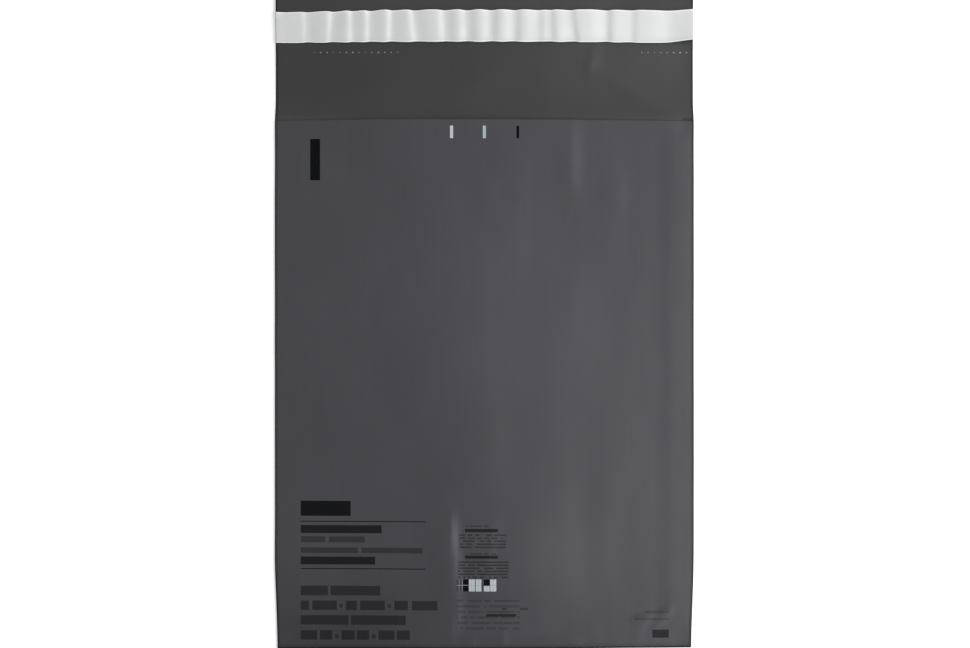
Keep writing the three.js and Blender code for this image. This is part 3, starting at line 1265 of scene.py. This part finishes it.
def liner_finish(colours):
    """Silicone-coated liner: soft sheen, faint fibres, and a painted highlight along both cut edges."""
    finish = Finish(bpy.data.materials.new("silicone_coated_liner"))
    x, y, z = finish.place()
    fibres = finish.noise(x / 1.6, y / 0.5, z, 4.0, 0.65)
    clouds = finish.noise(x / 16, y / 12, z / 5)
    grain = finish.noise(x / 0.35, y / 0.35, z / 0.35, 2.0, 0.6)
    tone = 1 + (fibres - 0.5) * 0.05 + (clouds - 0.5) * 0.07 + (grain - 0.5) * 0.05
    rough = 0.36 + (clouds - 0.5) * 0.12 + (fibres - 0.5) * 0.08
    colour = finish.shade(tuple(colours.liner), tone)
    finish.principled(
        {
            # Painted highlight along the liner's cut edges
            "Base Color": finish.blend(finish.carried(EDGE) * 0.85, colour, (*colours.liner_edge_highlight, 1.0)),
            "Roughness": rough,
            "Normal": finish.relief(fibres * 0.6 + grain * 0.4, 0.03 * MM, 0.5),
            "IOR": 1.45,
            "Specular IOR Level": 0.5,
        }
    )
    return finish.owner


# How much of the floor's white is its own to the camera beside the bag, and how far from the bag's
# middle, in metres, it turns all white
NEAR_GLOW = 0.4
SHADOW_REACH = 0.45
BACKDROP_FROM = 0.9
WHITE = (1.0, 1.0, 1.0, 1.0)
BLACK = (0.0, 0.0, 0.0, 1.0)
FLOOR_PAINT = (0.86, 0.86, 0.86)


def floor_finish():
    """Plain pale floor that the camera sees as white where no shadow falls."""
    finish = Finish(bpy.data.materials.new("studio_floor"))
    x, y, z = finish.place()
    tone = 1 + (finish.noise(x / 60, y / 60, 0.0) - 0.5) * 0.02
    paint = finish.node("ShaderNodeBsdfDiffuse", {}, {"Color": finish.shade(FLOOR_PAINT, tone)})
    far = ((x * MM) ** 2 + (y * MM) ** 2).rise(SHADOW_REACH**2, BACKDROP_FROM**2)
    glow = finish.node("ShaderNodeEmission", {}, {"Color": WHITE, "Strength": 1.0})
    dark = finish.node("ShaderNodeEmission", {}, {"Color": BLACK, "Strength": 0.0})
    share = finish.seen() * (NEAR_GLOW + far * (1 - NEAR_GLOW))
    shown = finish.node("ShaderNodeMixShader", {}, {0: share, 1: dark.outputs[0], 2: glow.outputs[0]})
    whole = finish.node("ShaderNodeAddShader", {}, {0: paint.outputs[0], 1: shown.outputs[0]})
    finish.node("ShaderNodeOutputMaterial", {}, {"Surface": whole.outputs[0]})
    return finish.owner


def object_of(mesh, materials):
    """An object for a mesh, in place of an earlier one of the same name."""
    earlier = bpy.data.objects.get(mesh.name)
    if earlier is not None:
        bpy.data.objects.remove(earlier)
    for material in materials:
        mesh.materials.append(material)
    made = bpy.data.objects.new(mesh.name, mesh)
    bpy.context.scene.collection.objects.link(made)
    return made


def srgb(red, green, blue):
    """Blender's colour for a colour written in levels from 0 to 255."""
    levels = (red / 255, green / 255, blue / 255)
    return tuple(v / 12.92 if v <= 0.04045 else ((v + 0.055) / 1.055) ** 2.4 for v in levels)


def length_property(name, description, default, low, high):
    """A length that the user can change, with its default and its bounds given in millimetres."""
    bounds = {"default": default * MM, "min": low * MM, "max": high * MM}
    return FloatProperty(name=name, description=description, unit="LENGTH", **bounds)


class MailerShape(bpy.types.PropertyGroup):
    """Sizes of the mailer that its frame doesn't fix."""

    weld_width: length_property("Weld width", "From the bag's side edge to the pocket", 6.35, 2, 15)
    web_thickness: length_property(
        "Web thickness", "Thickness of the film with its soft backing", WEB_THICKNESS / MM, 0.3, 3
    )
    pocket_length: length_property("Pocket length", "From the bottom fold to the mouth", 338, 100, 400)
    belly_height: length_property(
        "Belly height", "How far the middle of the empty pocket stands open", 6.9, 1, 12
    )
    mouth_height: length_property("Mouth height", "How far the mouth's middle stands open", 5, 1, 12)
    pucker_height: length_property("Pucker height", "Height of the gathers at the welds", 0.15, 0, 1)
    corner_lift: length_property("Corner lift", "How far the flap's corners stand up", 0.7, 0, 6)
    ripple_height: length_property("Ripple height", "Height of the liner's ripples", 2.1, 0, 3)
    edge_curl: length_property("Edge curl", "How far the liner's long edges stand up", 0.55, 0, 2)
    end_curl: length_property("End curl", "How far the liner's right end stands up", 2.4, 0, 6)


def colour_property(name, description, default):
    return FloatVectorProperty(
        name=name, description=description, default=default, min=0.0, max=1.0, size=3, subtype="COLOR"
    )


class MailerColours(bpy.types.PropertyGroup):
    """Colours of the mailer."""

    film: colour_property("Film", "Outer face of the satin film", srgb(59, 59, 63))
    inner_film: colour_property("Inner film", "Inner face of the web, seen on the flap", srgb(41, 41, 42))
    ink: colour_property("Ink", "Dark print on the film", srgb(6, 7, 8))
    pale_ink: colour_property("Pale ink", "Palest of the printer's marks", srgb(182, 184, 188))
    green_ink: colour_property("Green ink", "Pale green tick", srgb(158, 172, 170))
    liner: colour_property("Liner", "Silicone-coated release liner", srgb(208, 209, 209))
    # Colour of the painted highlight along the liner's cut edges
    liner_edge_highlight: colour_property("Liner edge", "Paler cut edge of the liner", srgb(244, 245, 244))
    adhesive: colour_property("Adhesive", "Hot-melt adhesive", srgb(217, 212, 196))


class MAILER_OT_web(bpy.types.Operator):
    """Build the folded and welded web of film"""

    bl_idname = "mailer.web"
    bl_label = "Folded web"

    def execute(self, context):
        shape = context.scene.mailer_shape
        colours = context.scene.mailer_colours
        finishes = [
            film_finish("printed_satin_film", colours, shape, printed=True),
            film_finish("satin_film", colours, shape, printed=False),
        ]
        web = object_of(web_mesh(shape), finishes)
        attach(web, "root")
        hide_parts("mailer_web")
        return {"FINISHED"}


class MAILER_OT_adhesive_band(bpy.types.Operator):
    """Build the hot-melt band across the flap"""

    bl_idname = "mailer.adhesive_band"
    bl_label = "Adhesive band"

    def execute(self, context):
        finish = band_finish(context.scene.mailer_colours)
        band = object_of(band_mesh(context.scene.mailer_shape), [finish])
        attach(band, "root")
        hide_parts("adhesive_band")
        return {"FINISHED"}


class MAILER_OT_release_liner(bpy.types.Operator):
    """Build the rippled release liner on the band"""

    bl_idname = "mailer.release_liner"
    bl_label = "Release liner"

    def execute(self, context):
        finish = liner_finish(context.scene.mailer_colours)
        liner = object_of(liner_mesh(context.scene.mailer_shape), [finish])
        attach(liner, "root")
        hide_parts("release_liner")
        return {"FINISHED"}


FLOOR_HALF = 4.0
FLOOR_DROP = 0.1 * MM
KEY_PLACE = (0.75, -0.08, 0.82)
KEY_SIZE = 1.0
KEY_POWER = 14.2
FILL_PLACE = (-0.7, 0.5, 1.2)
FILL_SIZE = 1.2
FILL_POWER = 2.5
WORLD_LIGHT = 0.3


def soft_light(name, place, size, power):
    """A square lamp that points at the bag."""
    data = bpy.data.lights.new(name, "AREA")
    data.shape = "SQUARE"
    data.size = size
    data.energy = power
    lamp = bpy.data.objects.new(name, data)
    lamp.location = place
    lamp.rotation_euler = (-Vector(place)).to_track_quat("-Z", "Y").to_euler()
    bpy.context.scene.collection.objects.link(lamp)


def studio_world():
    """White where it is seen, and a plain even light on the bag."""
    finish = Finish(bpy.data.worlds.new("studio"))
    strength = WORLD_LIGHT + finish.seen() * (1 - WORLD_LIGHT)
    sky = finish.node("ShaderNodeBackground", {}, {"Color": WHITE, "Strength": strength})
    finish.node("ShaderNodeOutputWorld", {}, {"Surface": sky.outputs["Background"]})
    bpy.context.scene.world = finish.owner


class MAILER_OT_stage(bpy.types.Operator):
    """Set up the floor, the lights and the camera straight above the bag"""

    bl_idname = "mailer.stage"
    bl_label = "Studio"

    def execute(self, context):
        draft = Draft()
        corners = []
        for x, y in ((-1, -1), (1, -1), (1, 1), (-1, 1)):
            corners.append(draft.corner(x * FLOOR_HALF, y * FLOOR_HALF, -FLOOR_DROP))
        draft.face(corners, [(0, 0), (1, 0), (1, 1), (0, 1)])
        object_of(draft.mesh("studio_floor"), [floor_finish()])
        studio_world()
        soft_light("key", KEY_PLACE, KEY_SIZE, KEY_POWER)
        soft_light("fill", FILL_PLACE, FILL_SIZE, FILL_POWER)
        data = bpy.data.cameras.new("photo_camera")
        data.sensor_width = SENSOR
        data.lens = SENSOR * CAMERA_HEIGHT / (PICTURE_WIDTH * PIXEL)
        data.clip_start = CLIP_START
        data.clip_end = CLIP_END
        camera = bpy.data.objects.new("photo_camera", data)
        camera.location = (CAMERA_X, CAMERA_Y, CAMERA_HEIGHT)
        context.scene.collection.objects.link(camera)
        context.scene.camera = camera
        context.scene.view_settings.view_transform = "Standard"
        return {"FINISHED"}


class MAILER_PT_panel(bpy.types.Panel):
    """Lists the mailer's sizes, colours and pieces"""

    bl_label = "Soft poly mailer"
    bl_idname = "MAILER_PT_panel"
    bl_space_type = "VIEW_3D"
    bl_region_type = "UI"
    bl_category = "Mailer"

    def draw(self, context):
        for group in (context.scene.mailer_shape, context.scene.mailer_colours):
            box = self.layout.box()
            for name in group.__annotations__:
                box.prop(group, name)
        for operator in OPERATORS:
            self.layout.operator(operator.bl_idname)


OPERATORS = (MAILER_OT_web, MAILER_OT_adhesive_band, MAILER_OT_release_liner, MAILER_OT_stage)
CLASSES = (MailerShape, MailerColours, *OPERATORS, MAILER_PT_panel)


def register():
    for made in CLASSES:
        bpy.utils.register_class(made)
    bpy.types.Scene.mailer_shape = PointerProperty(type=MailerShape)
    bpy.types.Scene.mailer_colours = PointerProperty(type=MailerColours)


def unregister():
    del bpy.types.Scene.mailer_colours
    del bpy.types.Scene.mailer_shape
    for made in reversed(CLASSES):
        bpy.utils.unregister_class(made)


def main():
    register()
    bpy.ops.mailer.web()
    bpy.ops.mailer.adhesive_band()
    bpy.ops.mailer.release_liner()
    bpy.ops.mailer.stage()


if __name__ == "__main__":
    main()
